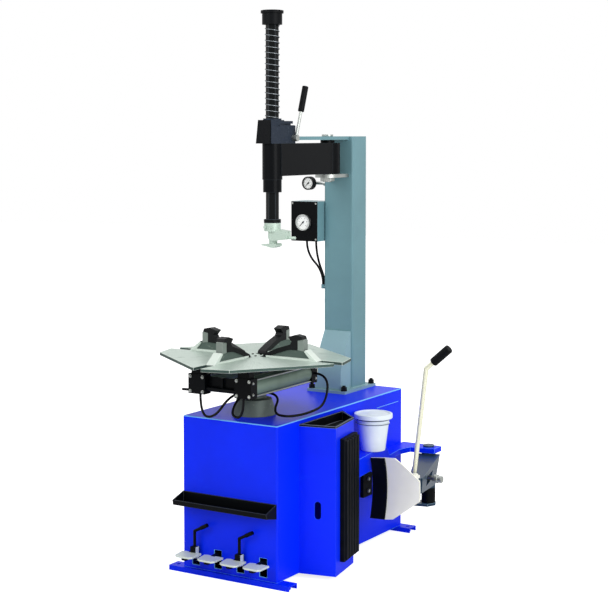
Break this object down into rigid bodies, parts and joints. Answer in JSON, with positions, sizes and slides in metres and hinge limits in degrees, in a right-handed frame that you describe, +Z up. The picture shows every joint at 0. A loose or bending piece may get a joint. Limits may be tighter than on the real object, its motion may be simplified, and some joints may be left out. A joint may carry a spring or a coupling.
{
  "type": "tyre changer",
  "caption": "Swing-arm tyre changer: clamp table with sliding jaws on a sheet-steel cabinet, column with a swinging tool arm, foot pedals, wheel pad and bead breaker arm.",
  "frame": {"origin": "centre of the four floor anchor holes, on the floor", "axes": "+Z up along the column; +Y from the operator towards the column; +X to the operator's right, towards the bead breaker"},
  "size_m": [0.8598, 1.0362, 1.85],
  "materials": {
    "blue_paint": "gloss",
    "slate_paint": "gloss",
    "column_paint": "gloss",
    "black_paint": "semi-gloss",
    "table_steel": "ground",
    "bright_steel": "satin",
    "cast": "cast",
    "tube_alu": "satin",
    "chrome": "polished",
    "ivory_paint": "gloss",
    "pad_rubber": "matte",
    "black_plastic": "matte",
    "pail_plastic": "gloss",
    "hose": "matte",
    "red_plastic": "gloss"
  },
  "bodies": {
    "machine": {"foot_bars": "blue_paint", "cabinet": "blue_paint", "service_cover": "blue_paint", "side_housing": "blue_paint", "side_tray": "black_plastic", "wheel_pad": "pad_rubber", "side_shelf": "blue_paint", "front_tray": "black_paint", "column": "column_paint", "column_foot": "column_paint", "column_bolts": "bright_steel", "arm_pivot_pin": "bright_steel", "gauge_box": "column_paint", "gauge_panel": "black_paint", "gauge_cases": "bright_steel", "gearbox": "cast", "motor": "slate_paint", "drive_belt": "pad_rubber", "pedal_frame": "black_paint", "bead_cylinder": "tube_alu", "bead_pivot": "slate_paint", "gauge_hose_1": "hose", "gauge_hose_2": "hose"},
    "turntable": {"table_plate": "table_steel", "table_hub": "cast", "clamp_cylinders": "black_paint", "table_hose_1": "hose", "table_hose_2": "hose", "table_hose_3": "hose"},
    "link": {"link_plate": "table_steel"},
    "clamp_left": {"clamp_rod_left": "chrome"},
    "clamp_right": {"clamp_rod_right": "chrome"},
    "jaw_a": {"jaw_1": "black_paint"},
    "jaw_b": {"jaw_2": "black_paint"},
    "jaw_c": {"jaw_3": "black_paint"},
    "jaw_d": {"jaw_4": "black_paint"},
    "arm": {"swing_arm": "black_paint", "lock_housing": "black_paint", "return_spring": "bright_steel"},
    "lever": {"lock_lever": "bright_steel", "lock_grip": "black_plastic"},
    "tool": {"tool_shaft": "black_paint", "shaft_cap": "black_paint", "mount_head": "bright_steel"},
    "foot_pedal_1": {"pedal_1": "black_paint"},
    "foot_pedal_2": {"pedal_2": "black_paint"},
    "foot_pedal_3": {"pedal_3": "black_paint"},
    "foot_pedal_4": {"pedal_4": "black_paint"},
    "breaker": {"bead_arm": "slate_paint", "bead_handle": "chrome", "handle_grip": "black_plastic"},
    "breaker_rod": {"bead_rod": "chrome"},
    "breaker_blade": {"bead_blade": "ivory_paint", "blade_cover": "black_plastic"},
    "pail": {"bucket": "pail_plastic"},
    "lid": {"bucket_lid": "pail_plastic"},
    "pointer_big": {"box_gauge_needle": "red_plastic"},
    "pointer_small": {"small_gauge_needle": "red_plastic"},
    "worm_drive": {"worm_pulley": "black_paint"},
    "motor_drive": {"motor_pulley": "black_paint"}
  },
  "joints": [
    {"name": "table_spin", "type": "hinge", "parent": "machine", "child": "turntable", "pos_m": [0, -0.275, 0], "axis": [0, 0, 1], "continuous": true},
    {"name": "jaw_1_slide", "type": "slide", "parent": "turntable", "child": "jaw_a", "axis": [-1, 0, 0], "range_m": [0, 0.1]},
    {"name": "jaw_2_slide", "type": "slide", "parent": "turntable", "child": "jaw_b", "axis": [0, -1, 0], "range_m": [0, 0.1]},
    {"name": "jaw_3_slide", "type": "slide", "parent": "turntable", "child": "jaw_c", "axis": [1, 0, 0], "range_m": [0, 0.1]},
    {"name": "jaw_4_slide", "type": "slide", "parent": "turntable", "child": "jaw_d", "axis": [0, 1, 0], "range_m": [0, 0.1]},
    {"name": "link_turn", "type": "hinge", "parent": "turntable", "child": "link", "pos_m": [0, -0.275, 0], "axis": [0, 0, 1], "range_deg": [0, 46]},
    {"name": "clamp_left_slide", "type": "slide", "parent": "turntable", "child": "clamp_left", "axis": [0, 1, 0], "range_m": [-0.05, 0]},
    {"name": "clamp_right_slide", "type": "slide", "parent": "turntable", "child": "clamp_right", "axis": [0, 1, 0], "range_m": [0, 0.05]},
    {"name": "arm_swing", "type": "hinge", "parent": "machine", "child": "arm", "pos_m": [0, 0.195, 0], "axis": [0, 0, 1], "range_deg": [0, 85]},
    {"name": "lever_pull", "type": "hinge", "parent": "arm", "child": "lever", "pos_m": [0.034, -0.086, 1.428], "axis": [1, 0, 0], "range_deg": [0, 45]},
    {"name": "tool_slide", "type": "slide", "parent": "arm", "child": "tool", "axis": [0, 0, 1], "range_m": [-0.22, 0], "stiffness_N_per_m": 400, "springref_m": 0.4, "deforming": ["return_spring"]},
    {"name": "pedal_1_press", "type": "hinge", "parent": "machine", "child": "foot_pedal_1", "pos_m": [0, -0.318, 0.092], "axis": [1, 0, 0], "range_deg": [0, 12], "stiffness_Nm_per_rad": 6, "springref_deg": -28.65},
    {"name": "pedal_2_press", "type": "hinge", "parent": "machine", "child": "foot_pedal_2", "pos_m": [0, -0.318, 0.092], "axis": [1, 0, 0], "range_deg": [0, 12], "stiffness_Nm_per_rad": 6, "springref_deg": -28.65},
    {"name": "pedal_3_press", "type": "hinge", "parent": "machine", "child": "foot_pedal_3", "pos_m": [0, -0.318, 0.092], "axis": [1, 0, 0], "range_deg": [0, 12], "stiffness_Nm_per_rad": 6, "springref_deg": -28.65},
    {"name": "pedal_4_press", "type": "hinge", "parent": "machine", "child": "foot_pedal_4", "pos_m": [0, -0.318, 0.092], "axis": [1, 0, 0], "range_deg": [0, 12], "stiffness_Nm_per_rad": 6, "springref_deg": -28.65},
    {"name": "breaker_swing", "type": "hinge", "parent": "machine", "child": "breaker", "pos_m": [0.302, 0.4, 0], "axis": [0, 0, 1], "range_deg": [0, 15]},
    {"name": "breaker_rod_slide", "type": "slide", "parent": "machine", "child": "breaker_rod", "axis": [1, 0, 0], "range_m": [0, 0.056]},
    {"name": "blade_tilt", "type": "hinge", "parent": "breaker", "child": "breaker_blade", "pos_m": [0.418, 0.072, 0], "axis": [0, 0, 1], "range_deg": [-5, 10]},
    {"name": "pail_lift", "type": "slide", "parent": "machine", "child": "pail", "axis": [0, 0, 1], "range_m": [0, 0.2]},
    {"name": "lid_lift", "type": "slide", "parent": "pail", "child": "lid", "axis": [0, 0, 1], "range_m": [0, 0.05]},
    {"name": "box_gauge_turn", "type": "hinge", "parent": "machine", "child": "pointer_big", "pos_m": [-0.115, 0.213, 1.124], "axis": [0, 1, 0], "range_deg": [0, 270]},
    {"name": "small_gauge_turn", "type": "hinge", "parent": "machine", "child": "pointer_small", "pos_m": [-0.116, 0.25, 1.264], "axis": [0, 1, 0], "range_deg": [0, 270]},
    {"name": "worm_pulley_spin", "type": "hinge", "parent": "machine", "child": "worm_drive", "pos_m": [0, -0.195, 0.438], "axis": [1, 0, 0], "continuous": true},
    {"name": "motor_pulley_spin", "type": "hinge", "parent": "machine", "child": "motor_drive", "pos_m": [0, 0, 0.225], "axis": [1, 0, 0], "continuous": true}
  ],
  "couplings": [
    {"joint": "jaw_2_slide", "follows": "jaw_1_slide", "ratio": 1},
    {"joint": "jaw_3_slide", "follows": "jaw_1_slide", "ratio": 1},
    {"joint": "jaw_4_slide", "follows": "jaw_1_slide", "ratio": 1},
    {"joint": "link_turn", "follows": "jaw_1_slide", "rad_per_m": 8},
    {"joint": "clamp_left_slide", "follows": "jaw_1_slide", "ratio": -0.5},
    {"joint": "clamp_right_slide", "follows": "jaw_1_slide", "ratio": 0.5},
    {"joint": "breaker_rod_slide", "follows": "breaker_swing", "m_per_rad": 0.205},
    {"joint": "motor_pulley_spin", "follows": "worm_pulley_spin", "ratio": 2.1481}
  ]
}
